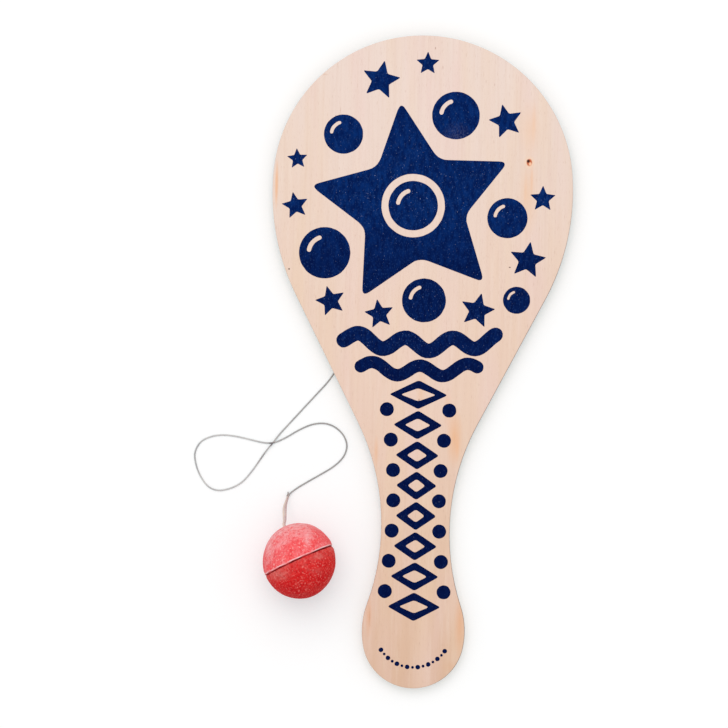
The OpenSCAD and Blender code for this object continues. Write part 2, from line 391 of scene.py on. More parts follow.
def elastic_look(name, darker, warm, soiled=None):
    """Worn rubber thread in two tones with dust and relief. If a tone is given it is soiled, with
    painted shade where it crosses itself.
    """
    look = Look(name, 0.62, specular=0.3)
    tone = look.spread(look.noise((5, 5, 5), seed=2.0), 0.35, 0.65)
    colour = look.mix(tone, srgb(*darker), srgb(*warm))
    if soiled:
        colour = soiled_and_shaded_colour(look, colour, soiled)
    colour, _ = look.layer(colour, (0.5, 0.5, 0.5), 3, 7.0, 0.52, 0.72, 0.4, ELASTIC_DUST)
    return look.finished(colour, look.noise((0.3, 0.3, 0.3), detail=3), 0.06)


cord_look = elastic_look(
    "grey_tan_elastic", (186, 184, 185), (206, 203, 201), soiled=(146, 141, 140),
)
eye_look = elastic_look("pink_tan_elastic", (222, 198, 190), (234, 212, 197))
# A darker copy of the eye's elastic: painted shade for the eye's right strand
eye_shaded_look = elastic_look("shaded_pink_elastic", (196, 164, 166), (218, 188, 178))
knot_look = elastic_look("knotted_elastic", (162, 152, 152), (190, 174, 168))


# Knots, wound of one thread
KNOT_POINTS = 60
LOBE_REACH = 3


def rounded_knot(centre, across, long, along, thread):
    """Centre line of an overhand knot drawn tight: across by long millimetres about a centre."""
    spin = along.to_track_quat("Z", "Y")
    reach = (across - thread) / 2 / LOBE_REACH * MM
    rise = (long - thread) / 2 * MM
    route = []
    for i in range(KNOT_POINTS + 1):
        t = 2 * pi * i / KNOT_POINTS
        flat = Vector((sin(t) + 2 * sin(2 * t), cos(t) - 2 * cos(2 * t), 0)) * reach
        route.append(centre + spin @ (flat + Vector((0, 0, -sin(3 * t) * rise))))
    return route


# Free elastic: the length under the blade and out to the split, then the curl up to the knot
ROUTE_STEPS = 6

tether_route = smooth(TETHER_ROUTE, ROUTE_STEPS)
tether = tubes("elastic_tether", [tether_route], CORD_D / 2 * MM)
tether.data.materials.append(cord_look)
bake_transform(tether)
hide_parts("tether_elastic")

curl_route = smooth(CURL_ROUTE, ROUTE_STEPS)
curl = tubes("elastic_curl", [curl_route], CORD_D / 2 * MM)
dress(curl, "curl", cord_look, "elastic", "curl_elastic")

# Outer knot: a winding drawn in from the CAD knot's diameter, and its cut tail
KNOT_THREAD = 0.5
OUTER_DRAWN_IN = 0.7
OUTER_KNOT_LEN = 1.8
OUTER_KNOT_ALONG = Vector((-0.35, -0.9, 0.3)).normalized()
TAIL_DROP = 0.4
TAIL_CUT = 0.6
TAIL_PLACES = (0.2, 0.6, 1.0, OUTER_KNOT_D / 2 + KNOT_TAIL - TAIL_CUT)

tail_start = OUTER_KNOT - Vector((0, 0, TAIL_DROP * MM))
tail = [tail_start + KNOT_TAIL_DIR * s * MM for s in TAIL_PLACES]
outer_winding = rounded_knot(
    OUTER_KNOT, OUTER_KNOT_D - OUTER_DRAWN_IN, OUTER_KNOT_LEN, OUTER_KNOT_ALONG, KNOT_THREAD,
)
outer_knot = tubes("outer_knot_thread", [outer_winding, tail], KNOT_THREAD / 2 * MM)
dress(outer_knot, "curl", knot_look, "elastic", "outer_knot")

# Eye: two strands from the outer knot into the ball's hole
EYE_OUT = BALL_R + CORD_D
EYE_IN = BALL_R - BALL_WALL - STOP_GAP - INNER_KNOT_D / 2
EYE_STEPS = 5
STRANDS_APART = CORD_D + CORD_PLAY
# Shares by which the strands spread midway, and are pinched beside the knot
EYE_FLAT = 0.32
EYE_PINCH = 0.26
PINCH_END = 0.4

eye_middle = smooth(
    EYE_ROUTE + [on_hole_axis(s) for s in (EYE_OUT, BALL_R - BALL_WALL, EYE_IN)], EYE_STEPS,
)
eye_reach = on_hole_axis(EYE_OUT).y - eye_middle[0].y
eye_share = [min(max((p.y - eye_middle[0].y) / eye_reach, 0), 1) for p in eye_middle]
eye_flat = [
    1 + EYE_FLAT * sin(pi * s) ** 2 - EYE_PINCH * max(0, 1 - s / PINCH_END) for s in eye_share
]


def eye_strand(side):
    """One of the eye's two strands. They lie side by side and flatten between knot and ball."""
    route = []
    for centre, along, wide in zip(eye_middle, tangents(eye_middle), eye_flat):
        level = UP.cross(along).normalized()
        route.append(centre + side * wide * STRANDS_APART / 2 * MM * level)
    return route


eye_strands = tubes("elastic_eye", [eye_strand(-1), eye_strand(1)], CORD_D / 2 * MM, flat=eye_flat)
# The right strand takes the darker copy: painted shade on the side away from the lamp
for look in (eye_look, eye_shaded_look):
    eye_strands.data.materials.append(look)
eye_faces = list(eye_strands.data.polygons)
for face in eye_faces[len(eye_faces) // 2:]:
    face.material_index = 1
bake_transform(eye_strands)
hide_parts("eye_strands")

# Inner knot, which stops the eye inside the ball
INNER_KNOT_LEN = 2.8
INNER_THREAD = 1.2

inner_winding = rounded_knot(
    on_hole_axis(EYE_IN), INNER_KNOT_D, INNER_KNOT_LEN, HOLE_DIR, INNER_THREAD,
)
inner_knot = tubes("inner_knot_thread", [inner_winding], INNER_THREAD / 2 * MM)
dress(inner_knot, "eye", knot_look, "elastic", "inner_knot")

# Paddle's frame: x on the centre line, y from the butt, z from the back face, in millimetres
staple_stand = CORD_D + 2 * CORD_PLAY + WIRE_D
crown_foot_at = STAPLE_AT - CROWN_LEN / 2 + WIRE_D / 2 + CROWN_BEND_R
paddle_pitch = atan(staple_stand / crown_foot_at)
on_paddle = (
    Matrix.Translation((0, -PADDLE_LEN / 2 * MM, 0))
    @ Matrix.Rotation(paddle_pitch, 4, "X") @ Matrix.Scale(MM, 4)
)

# Anchor knot, and the stub that runs from it under the staple's crown to the swivel
ANCHOR_THREAD = 0.6
ANCHOR_THINNED = 0.95
STUB_STEPS = 4
STUB_START_Z = -0.5
STUB_UNDER_X = (0.4, -0.6)

knot_x = WIRE_D / 2 + CORD_PLAY + ANCHOR_KNOT_D / 2
anchor_centre = on_paddle @ Vector((knot_x, STAPLE_AT, -CORD_PLAY - ANCHOR_KNOT_D / 2))
anchor_winding = rounded_knot(
    anchor_centre, ANCHOR_KNOT_D, ANCHOR_KNOT_LEN, Vector((0, 1, 0)), ANCHOR_THREAD,
)
stub = [on_paddle @ Vector((knot_x, STAPLE_AT, STUB_START_Z))]
stub += [on_paddle @ Vector((x, STAPLE_AT, -CORD_PLAY - CORD_D / 2)) for x in STUB_UNDER_X]
stub.append(Vector(SWIVEL) * MM)
anchor = tubes(
    "anchor_knot_thread", [anchor_winding, smooth(stub, STUB_STEPS, lowest=0)],
    CORD_D / 2 * ANCHOR_THINNED * MM,
)
dress(anchor, "paddle", knot_look, "elastic", "anchor_knot")


# Paddle's outline, as in the CAD source
def polar(centre, radius, angle):
    return (centre[0] + radius * cos(radians(angle)), centre[1] + radius * sin(radians(angle)))


def arc(centre, radius, start, stop, step=1.5):
    count = ceil(abs(stop - start) / step)
    return [polar(centre, radius, start + (stop - start) * i / count) for i in range(count + 1)]


def direction(start, end):
    return atan2(end[1] - start[1], end[0] - start[0]) * 180 / pi


def paddle_outline():
    """The paddle's outline, anticlockwise from the blade's top."""
    top_c = (0, PADDLE_LEN - BLADE_TOP_R)
    side_c = polar(top_c, BLADE_TOP_R - BLADE_SIDE_R, SHOULDER_ANGLE)
    bulb_c = (BULB_W / 2 - BULB_SIDE_R, BULB_AT)
    butt_r = (BULB_SIDE_R ** 2 - bulb_c[0] ** 2 - BULB_AT ** 2) / (2 * (BULB_SIDE_R - BULB_AT))
    butt_c = (0, butt_r)
    flank_cos = cos(radians(FLANK_ANGLE))
    flank_sin = sin(radians(FLANK_ANGLE))
    neck_in = (BULB_W - NECK_W) / 2
    rise_a = (1 - flank_cos) / (2 * neck_in)
    rise_k = (
        (1 - flank_cos) * (BULB_SIDE_R - neck_in / 2) + flank_cos * (NECK_W / 2 - side_c[0])
        + flank_sin * (side_c[1] - BULB_AT) - BLADE_SIDE_R
    )
    neck_rise = (sqrt(flank_sin ** 2 + 4 * rise_a * rise_k) - flank_sin) / (2 * rise_a)
    neck_r = (neck_rise ** 2 + neck_in ** 2) / (2 * neck_in) - BULB_SIDE_R
    neck_c = (NECK_W / 2 + neck_r, BULB_AT + neck_rise)
    to_neck = direction(bulb_c, neck_c)
    to_butt = direction(bulb_c, butt_c)
    right = (
        arc(top_c, BLADE_TOP_R, 90, SHOULDER_ANGLE)[1:]
        + arc(side_c, BLADE_SIDE_R, SHOULDER_ANGLE, -FLANK_ANGLE)[1:]
        + arc(neck_c, neck_r, 180 - FLANK_ANGLE, 180 + to_neck)
        + arc(bulb_c, BULB_SIDE_R, to_neck, to_butt)[1:]
        + arc(butt_c, butt_r, to_butt, -90)[1:]
    )
    left = [(-x, y) for x, y in right[:-1]]
    return left + [right[-1]] + right[-2::-1] + [(0, PADDLE_LEN)]


def inset(loop, by):
    """A closed anticlockwise loop moved inwards along its normals."""
    made = []
    for i, (x, y) in enumerate(loop):
        ahead = loop[(i + 1) % len(loop)]
        behind = loop[i - 1]
        along = Vector((ahead[0] - behind[0], ahead[1] - behind[1])).normalized()
        made.append((x - along.y * by, y + along.x * by))
    return made


EDGE_ROUND = 0.45
outline = paddle_outline()


def veneer(name, low, high, rounded_high):
    """A face ply whose outer edge is sanded round, on its upper or its lower side."""
    steps = 5
    turns = [(1 - cos(pi / 2 * k / steps), sin(pi / 2 * k / steps)) for k in range(steps + 1)]
    if rounded_high:
        levels = [(0, low)] + [(EDGE_ROUND * a, high - EDGE_ROUND + EDGE_ROUND * b) for a, b in turns]
    else:
        levels = [(EDGE_ROUND * a, low + EDGE_ROUND - EDGE_ROUND * b) for a, b in reversed(turns)]
        levels.append((0, high))
    rings = []
    for by, z in levels:
        rings.append([on_paddle @ Vector((x, y, z)) for x, y in inset(outline, by)])
    return mesh_piece(name, [p for ring in rings for p in ring], bridge(rings))


# Marks in the face veneer: x, y, half width, half height, softness, tone, strength
FACE_MARKS = [
    (45.4, 240, 5.0, 15, 1.0, (240, 196, 160), 0.45),
    (47.0, 243, 1.3, 10, 1.0, (242, 192, 154), 0.4),
    (45.2, 212, 5.4, 19, 1.0, (240, 196, 158), 0.5),
    (46.6, 219, 0.8, 8, 1.0, (244, 188, 146), 0.45),
    (44.0, 214, 0.9, 9, 1.0, (242, 192, 152), 0.35),
    (45.4, 226.5, 2.6, 3.0, 0.5, (246, 212, 184), 0.8),
    (45.4, 226.5, 1.4, 1.8, 0.35, (196, 84, 26), 0.95),
    (45.75, 225.9, 0.75, 0.95, 0.5, (252, 200, 164), 0.95),
    (44.95, 227.05, 0.85, 0.9, 0.5, (52, 8, 2), 1.0),
    (15.8, 108, 3.8, 14, 1.0, (236, 182, 140), 0.85),
    (1.2, 127, 2.4, 15, 1.0, (234, 190, 152), 0.5),
    (-17.6, 101, 1.2, 8, 0.9, (236, 184, 146), 0.6),
    (12.6, 120, 2.2, 9, 1.0, (240, 190, 158), 0.6),
    (19.9, 28, 2.7, 16, 0.9, (230, 172, 130), 0.62),
    (18.0, 9.5, 6.0, 3.0, 1.0, (222, 176, 142), 0.5),
    (-18.8, 30.2, 0.35, 5.0, 0.8, (200, 152, 118), 0.75),
    (-19.3, 30.5, 1.6, 11, 1.0, (230, 174, 138), 0.7),
    (-62.7, 215, 0.9, 12, 0.7, (240, 184, 142), 0.8),
    (-37.9, 244.5, 0.5, 0.45, 0.5, (104, 66, 50), 0.9),
    (-36.0, 247.2, 0.2, 2.2, 0.9, (198, 158, 138), 0.6),
    (-1.7, 137.0, 0.35, 0.6, 0.6, (150, 104, 80), 0.8),
    (0.3, 123.7, 0.35, 0.7, 0.6, (150, 104, 80), 0.7),
    (-56.6, 178.7, 0.42, 0.5, 0.5, (92, 58, 46), 0.95),
    (38.0, 181.4, 0.55, 0.32, 0.5, (88, 60, 52), 0.9),
    (7.5, 266.3, 0.25, 1.0, 0.6, (194, 156, 142), 0.55),
    (29.8, 259.5, 0.3, 0.8, 0.6, (204, 170, 156), 0.5),
    (20.6, 41, 1.4, 9, 0.9, (232, 176, 134), 0.6),
    (17.2, 104, 1.2, 7, 1.0, (240, 184, 142), 0.6),
    (4.1, 274.6, 0.3, 0.7, 0.6, (176, 136, 116), 0.75),
    (-43.0, 262.4, 1.6, 0.5, 0.8, (220, 184, 162), 0.6),
]
FACE_TONES = [
    (0.00, srgb(221, 183, 156)), (0.22, srgb(228, 194, 169)), (0.42, srgb(235, 205, 187)),
    (0.58, srgb(236, 208, 190)), (0.78, srgb(236, 213, 200)), (1.00, srgb(236, 215, 204)),
]
BACK_TONES = [
    (0.00, srgb(226, 196, 166)), (0.50, srgb(232, 204, 174)), (1.00, srgb(234, 210, 184)),
]
# Layers of the veneer: name, patch size, detail, seed, noise at the start and in full, strength, tone
VENEER_LAYERS = [
    ("bands", (8, 120, 30), 3, 3, 0.42, 0.70, 0.42, (236, 206, 178)),
    ("blush", (12, 70, 30), 3, 11, 0.45, 0.70, 0.4, (236, 205, 198)),
    ("grain", (0.9, 34, 5), 4, 5, 0.48, 0.68, 0.10, (206, 166, 142)),
    ("pale", (1.6, 24, 5), 3, 23, 0.52, 0.72, 0.18, (246, 228, 214)),
    ("pores", (0.28, 2.6, 1), 2, 8, 0.61, 0.73, 0.26, (190, 148, 124)),
]
# Painted shade on the right edge of the face ply, where its rounded edge faces away from the lamp
# Full and none at these depths under the face, in millimetres
EDGE_SHADE_FULL = 0.14
EDGE_SHADE_NONE = 0.015
# Fades in along X and out along Y between these places, in metres
EDGE_SHADE_X = (0.006, 0.018)
EDGE_SHADE_Y = (0.175, 0.225)
EDGE_SHADE_MOST = 0.7
EDGE_SHADE_TONE = (112, 84, 80)


def edge_shade_colour(look, colour):
    """Paints shade on the edge of the face on the right, from the butt to the blade's middle."""
    place = look.local(Location=(0, -PADDLE_LEN / 2 * MM, 0), Rotation=(paddle_pitch, 0, 0))
    depths = [(PADDLE_T - depth) * MM for depth in (EDGE_SHADE_FULL, EDGE_SHADE_NONE)]
    under = look.spread(look.axis("Z", place), *depths, 1, 0)
    right = look.spread(look.axis("X", place), *EDGE_SHADE_X)
    low = look.spread(look.axis("Y", place), *EDGE_SHADE_Y, 1, 0)
    edge_shade = look.times(under, look.times(right, low))
    return look.tint(colour, edge_shade, EDGE_SHADE_MOST, EDGE_SHADE_TONE)


def wood_look(name, tones, marks=(), seed=0.0, contrast=1.0, shaded_edge=False):
    """Pale veneer: long bands, fine grain and short pores along the paddle."""
    look = Look(name, 0.6, specular=0.25)
    height = look.spread(look.axis("Y"), -PADDLE_LEN / 2 * MM, PADDLE_LEN / 2 * MM)
    colour = look.stops(height, tones)
    patterns = {}
    for layer, size, detail, shift, low, high, strength, tone in VENEER_LAYERS:
        laid = (low, high, strength * contrast, tone)
        colour, patterns[layer] = look.layer(colour, size, detail, seed + shift, *laid)
    for x, y, wide, high, soft, tone, strength in marks:
        mark = look.spot(x, y - PADDLE_LEN / 2, wide, high, soft)
        colour = look.tint(colour, mark, strength, tone)
    # Painted shade along the face's right edge
    if shaded_edge:
        colour = edge_shade_colour(look, colour)
    relief = look.mix(0.5, patterns["grain"], patterns["pores"])
    return look.finished(colour, relief, 0.04, look.spread(patterns["grain"], 0.3, 0.7, 0.52, 0.70))


front = veneer("printed_face_ply", BACK_T + CORE_T, PADDLE_T, True)
face_wood = wood_look("face_veneer_wood", FACE_TONES, FACE_MARKS, shaded_edge=True)
dress(front, "paddle", face_wood, "face_veneer", "front_veneer")
back = veneer("plain_back_ply", 0, BACK_T, False)
back_wood = wood_look("back_veneer_wood", BACK_TONES, seed=40.0, contrast=1.3)
dress(back, "paddle", back_wood, "back_veneer", "back_veneer")


def core_look():
    """The core ply's cut edge: crosswise layers, open pores and dark flecks from the saw."""
    look = Look("core_ply_edge", 0.72, specular=0.2)
    layers = look.noise((14, 14, 0.35), detail=3, seed=2)
    colour = look.mix(look.spread(layers, 0.35, 0.65), srgb(214, 176, 134), srgb(188, 146, 104))
    colour, flecks = look.layer(colour, (0.5, 0.5, 0.25), 2, 9, 0.58, 0.72, 0.6, (140, 100, 68))
    return look.finished(colour, look.mix(0.5, layers, flecks), 0.12)


def steel_look():
    """Bright drawn steel wire with faint lengthwise marks and a little tarnish."""
    look = Look("staple_steel", 0.3, metallic=1)
    marks = look.noise((0.12, 2.5, 0.12), detail=3)
    tarnish = look.noise((1.5, 1.5, 1.5), detail=2, seed=4)
    colour = look.patch(srgb(196, 197, 200), tarnish, 0.5, 0.7, 0.6, (150, 138, 122))
    return look.finished(colour, marks, 0.01, look.spread(marks, 0.3, 0.7, 0.22, 0.42))


def finish_node(name, material):
    """Gives a CAD node that stays its procedural material."""
    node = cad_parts[name]
    node.data.materials.clear()
    node.data.materials.append(material)
    return node


# CAD pieces that stay. The core ply's edges are eased by this much in millimetres
GLUE_LINE = 0.08
GLUE_LINE_ANGLE = 50

core = finish_node("core_ply", core_look())
bevel = core.modifiers.new("glue_line", "BEVEL")
bevel.width = GLUE_LINE * MM
bevel.segments = 2
bevel.limit_method = "ANGLE"
bevel.angle_limit = radians(GLUE_LINE_ANGLE)
finish_node("staple", steel_look())

# Print on the face: plain motifs of stars, balls, waves and diamonds, in the paddle's frame
INK_LOW = PADDLE_T - 0.02
INK_HIGH = PADDLE_T + 0.03
INK_WOBBLE = 0.10
WOBBLE_LEN = 1.7
WOBBLE_LEVEL = 3.1
WOBBLE_OTHER = Vector((9, 4, 2))
WELD = 0.002


def disc(x, y, radius, count=72):
    return [polar((x, y), radius, 360 * k / count) for k in range(count)]


def rounded(corners, radius, steps=5):
    """A closed loop with each corner rounded off."""
    made = []
    for i, corner in enumerate(corners):
        here = Vector(corner)
        start = here + (Vector(corners[i - 1]) - here).normalized() * radius
        end = here + (Vector(corners[(i + 1) % len(corners)]) - here).normalized() * radius
        for k in range(steps + 1):
            t = k / steps
            made.append(tuple(start * (1 - t) ** 2 + here * 2 * t * (1 - t) + end * t * t))
    return made


def star(x, y, radius, turn=0.0, waist=0.46, rounding=0.09):
    corners = [
        polar((x, y), radius if k % 2 == 0 else radius * waist, 90 + turn + 36 * k) for k in range(10)
    ]
    return rounded(corners, radius * rounding)


def band(line, width, cap_steps=8):
    """The outline of a stroke along a line, with round ends."""
    points = [Vector(p) for p in line]
    half = width / 2
    left = []
    right = []
    for i, p in enumerate(points):
        along = (points[min(i + 1, len(points) - 1)] - points[max(i - 1, 0)]).normalized()
        across = Vector((-along.y, along.x)) * half
        left.append(p + across)
        right.append(p - across)

    def cap(centre, start):
        angle = atan2(start.y - centre.y, start.x - centre.x)
        return [
            centre + half * Vector((cos(angle - pi * k / cap_steps), sin(angle - pi * k / cap_steps)))
            for k in range(1, cap_steps)
        ]

    return left + cap(points[-1], left[-1]) + right[::-1] + cap(points[0], right[0])


WAVE_POINTS = 60
# The bare sickle in a ball, in shares of the ball's radius, and its angles
SHINE_RADIUS = 0.62
SHINE_WIDTH = 0.17
SHINE_ANGLES = range(110, 171, 6)


def wave(y, half_width, rise, length, shift, bow):
    """A line of waves at a height, each as long as length, with its ends bowed up."""
    line = []
    for k in range(WAVE_POINTS + 1):
        x = -half_width + 2 * half_width * k / WAVE_POINTS
        line.append((x, y + rise * sin(2 * pi * x / length + shift) + bow * (x / half_width) ** 2))
    return line


def ball_motif(x, y, radius):
    """A ball with a bare sickle on its upper left."""
    line = [polar((x, y), radius * SHINE_RADIUS, a) for a in SHINE_ANGLES]
    return [disc(x, y, radius), band(line, radius * SHINE_WIDTH)]


# The large star: x, y, radius, turn, waist. A round gap in it holds a ball
BIG_STAR = (-4, 207, 45, 8, 0.50)
BIG_GAP_R = 13.6
BIG_BALL_R = 10.6
# Balls on the blade: x, y, radius
BLADE_BALLS = [
    (13.5, 246.0, 10.2), (36.5, 202.5, 8.6), (1.5, 166.5, 9.4), (-41.5, 186.0, 11.0),
    (-34.5, 237.0, 8.4), (41.2, 167.4, 5.8),
]
# Stars on the blade: x, y, radius, turn
BLADE_STARS = [
    (-19, 260.5, 8.6, -10), (35, 244, 7.6, 14), (51.5, 211, 5.8, 0), (-54.5, 206, 6.0, 12),
    (45.5, 184.6, 8.2, -8), (-17.5, 160.2, 6.6, 10), (24.5, 162.6, 7.8, -12), (-54, 226, 4.6, 5),
    (1, 268, 5.2, 0), (-38.5, 165.4, 6.8, 16),
]
# Waves on the blade: height, half width, rise, length, shift, bow, stroke's width
BLADE_WAVES = [
    (147.5, 32.5, 2.7, 20, 3.44, 2.5, 6.4), (136.2, 25, 2.3, 20, 1.43, 1.8, 5.4),
]


def blade_motifs():
    middle = BIG_STAR[:2]
    loops = [star(*BIG_STAR), disc(*middle, BIG_GAP_R)] + ball_motif(*middle, BIG_BALL_R)
    for ball in BLADE_BALLS:
        loops += ball_motif(*ball)
    loops += [star(*shape) for shape in BLADE_STARS]
    return loops + [band(wave(*shape), width) for *shape, width in BLADE_WAVES]


# Diamonds down the handle: height and half width. A smaller one is bare in each
HANDLE_DIAMONDS = [
    (126, 12.5), (113, 10.6), (100, 9.4), (87, 8.8), (74, 8.8), (61, 9.4), (48, 10.4), (35, 11.4),
]
DIAMOND_HIGH = 6.2
DIAMOND_LINE_WIDE = 5.0
DIAMOND_LINE_HIGH = 3.4
DIAMOND_CORNER_R = 1.1
# Dots on both sides of the handle: height and distance from the middle
HANDLE_DOTS = [
    (119.5, 13.4), (106.5, 11.4), (93.5, 10.2), (80.5, 9.8), (67.5, 10.2), (54.5, 11.2), (41.5, 12.6),
]
HANDLE_DOT_R = 3.0
HANDLE_DOT_POINTS = 48
# Dots on an arc at the butt, large and small in turn
BUTT_ARC = (0, 25.5)
BUTT_ARC_R = 16.5
BUTT_ANGLES = range(214, 327, 8)
BUTT_DOTS_R = (1.0, 0.6)
BUTT_DOT_POINTS = 24


def diamond(x, y, wide, high):
    corners = [(x + wide, y), (x, y + high), (x - wide, y), (x, y - high)]
    return rounded(corners, DIAMOND_CORNER_R)


def handle_motifs():
    loops = []
    for y, wide in HANDLE_DIAMONDS:
        loops.append(diamond(0, y, wide, DIAMOND_HIGH))
        loops.append(diamond(0, y, wide - DIAMOND_LINE_WIDE, DIAMOND_HIGH - DIAMOND_LINE_HIGH))
    for y, out in HANDLE_DOTS:
        loops += [disc(x, y, HANDLE_DOT_R, HANDLE_DOT_POINTS) for x in (-out, out)]
    return loops


def butt_motifs():
    return [
        disc(*polar(BUTT_ARC, BUTT_ARC_R, angle), BUTT_DOTS_R[step % 2], BUTT_DOT_POINTS)
        for step, angle in enumerate(BUTT_ANGLES)
    ]


def wobble(loop, amount):
    """Slightly uneven edges, as screen printing leaves on wood."""
    made = []
    for x, y in loop:
        lift = Vector((x / WOBBLE_LEN, y / WOBBLE_LEN, WOBBLE_LEVEL))
        made.append((x + amount * noise.noise(lift), y + amount * noise.noise(lift + WOBBLE_OTHER)))
    return made


def print_mesh(name, loops):
    """A thin film of ink in the paddle's frame. A loop inside another one is bare."""
    curve = bpy.data.curves.new(name, "CURVE")
    curve.dimensions = "2D"
    curve.fill_mode = "BOTH"
    curve.extrude = (INK_HIGH - INK_LOW) / 2
    for loop in loops:
        points = wobble(loop, INK_WOBBLE)
        spline = curve.splines.new("POLY")
        spline.points.add(len(points) - 1)
        for point, (x, y) in zip(spline.points, points):
            point.co = (x, y, 0, 1)
        spline.use_cyclic_u = True
    holder = bpy.data.objects.new(name + "_line", curve)
    mesh = bpy.data.meshes.new_from_object(holder)
    bpy.data.objects.remove(holder)
    bpy.data.curves.remove(curve)
    return mesh


def print_piece(name, loops, material):
    """A film of ink as a closed mesh on the face."""
    mesh = print_mesh(name, loops)
    set_right(mesh, WELD)
    mesh.transform(on_paddle @ Matrix.Translation((0, 0, (INK_LOW + INK_HIGH) / 2)))
    mesh.name = name
    dress(put(name, mesh), "paddle", material, "face_veneer")


# The ink's two tones low and high on the paddle
INK_LOW_TONES = (srgb(0, 18, 68), srgb(2, 30, 86))
INK_HIGH_TONES = (srgb(0, 25, 80), srgb(4, 42, 104))
# Along Y in metres: from the low tones to the high ones, and from the blade's to the handle's
INK_BRIGHTENS = (0.040, 0.062)
INK_DARKENS = (0.012, -0.012)
# One rubbed patch: x, y, half width, half height, softness
RUBBED_SPOT = (14, 236 - PADDLE_LEN / 2, 7, 8, 1.0)
RUBBED_MOST = 0.5


def ink_look():
    """Navy screen ink: mottled, thin along the grain, with pinholes and one rubbed patch."""
    look = Look("navy_ink", 0.62, specular=0.02)
    mottle = look.noise((1.6, 4.0, 3), detail=4, seed=6)
    mottled = look.spread(mottle, 0.38, 0.66)
    low = look.mix(mottled, *INK_LOW_TONES)
    high = look.mix(mottled, *INK_HIGH_TONES)
    colour = look.mix(look.spread(look.axis("Y"), *INK_BRIGHTENS), low, high)
    colour, specks = look.layer(colour, (0.45, 0.9, 0.6), 2, 14, 0.57, 0.69, 0.55, (38, 68, 120))
    colour, _ = look.layer(colour, (0.6, 0.9, 0.6), 2, 31, 0.60, 0.72, 0.6, (2, 12, 50))
    rubbed = look.times(look.spot(*RUBBED_SPOT), look.spread(specks, 0.40, 0.62))
    colour = look.tint(colour, rubbed, RUBBED_MOST, (92, 96, 128))
    colour, _ = look.layer(colour, (0.42, 0.7, 0.6), 1, 52, 0.735, 0.77, 0.55, (150, 160, 190))
    colour = look.patch(colour, look.axis("Y"), *INK_DARKENS, 0.6, (0, 9, 56))
    return look.finished(colour, mottle, 0.02)


ink = ink_look()
print_piece("blade_print", blade_motifs(), ink)
print_piece("handle_print", handle_motifs(), ink)
print_piece("butt_print", butt_motifs(), ink)

# Ball: two moulded halves turned about the hole's axis, +Z along the hole
on_ball = (
    Matrix.Translation(Vector(BALL_CENTRE) * MM) @ Matrix.Rotation(heading, 4, "Z")
    @ Matrix.Rotation(-pi / 2 - dip, 4, "X") @ Matrix.Scale(MM, 4)
)
BALL_SIDES = 180
INNER_R = BALL_R - BALL_WALL
LAP_R = BALL_R - BALL_WALL / 2
# Profiles: first and last angle of each arc, and its steps
PALE_SKIN_ARC = (86, 3.2, 64)
PALE_LIP_ARC = (58, -90, 12)
PALE_INSIDE_ARC = (7.1, 85.8, 30)
RED_SKIN_ARC = (-89.4, -2.6, 64)
RED_INSIDE_ARC = (0, -89.4, 30)
# The hole's eased rim: how much wider, and how far its edges lie below the ball's top
RIM_WIDER = 0.12
RIM_HIGH = 0.05
RIM_LOW = 0.25
# The crease beside the lip: depth under the red half's skin, and height
CREASE = [(0.08, -0.42), (0.30, -0.26), (0.62, -0.16), (0.70, 0)]
# The skin's broad lumps and fine pimples, and how much it is smaller all over
LUMP = 0.20
LUMP_RATE = 1.7
LUMP_PLACE = Vector((4.2, 1.3, 7.7))
PIMPLE = 0.05
PIMPLE_RATE = 7.0
SHRUNK = 0.14
# Points up to this far outside the lap stay where they are
INSIDE_MARGIN = 0.2
# The seam: how near it counts, its rise, tilt and waves, and its lip's wear
SEAM_NEAR = 1.4
SEAM_RISE = 0.25
SEAM_TILT = 0.28
SEAM_WAVE = 0.12
SEAM_WAVE_RATE = 2.6
SEAM_WAVE_LEVEL = 0.4
LIP_WORN = 0.08
# The red half's gap at the seam's right end: depth, turn, lowest and highest place
GAP_DEEP = 0.45
GAP_TURN = 0.16
GAP_LOW = -1.2
GAP_HIGH = -0.05
# How much of the crease closes at the seam's left end, and over what turn
CREASE_CLOSED = 0.75
CREASE_CLOSED_TURN = 0.6
# The pale half's skin draws in at both ends of the seam: depth, turn and height
PALE_DRAWN_IN = 0.35
PALE_DRAWN_TURN = 0.5
PALE_DRAWN_HIGH = 2
# The ball as it lies is a little taller than wide in the photograph's view
OVAL = Vector((0.982, 1.026, 1.0))


def turned_arc(radius, start, stop, count, centre=(0, 0)):
    """(r, z) points on an arc. 0 degrees points outwards and 90 up the axis."""
    return [polar(centre, radius, start + (stop - start) * k / count) for k in range(count + 1)]


def eyed_profile():
    ring_r = BALL_R + LIP_PROUD - LIP_R
    hole_r = EYE_HOLE_D / 2
    outer = turned_arc(BALL_R, *PALE_SKIN_ARC)
    lip = turned_arc(LIP_R, *PALE_LIP_ARC, centre=(ring_r, LIP_R))
    inner = turned_arc(INNER_R, *PALE_INSIDE_ARC)
    return (
        [(hole_r + RIM_WIDER, BALL_R - RIM_HIGH)] + outer + lip
        + [(LAP_R, 0), (LAP_R, LAP_H)] + inner + [(hole_r, BALL_R - RIM_LOW)]
    )


def plain_profile():
    outer_r = BALL_R - SEAM_STEP
    outer = turned_arc(outer_r, *RED_SKIN_ARC)
    crease = [(outer_r - deep, z) for deep, z in CREASE]
    inner = turned_arc(INNER_R, *RED_INSIDE_ARC)
    return outer + crease + [(LAP_R, 0), (LAP_R, LAP_H), (INNER_R, LAP_H)] + inner


def fading(value, over):
    """1 at a value of 0, falling to 0 at the end of a stretch."""
    return max(0.0, 1 - value / over)


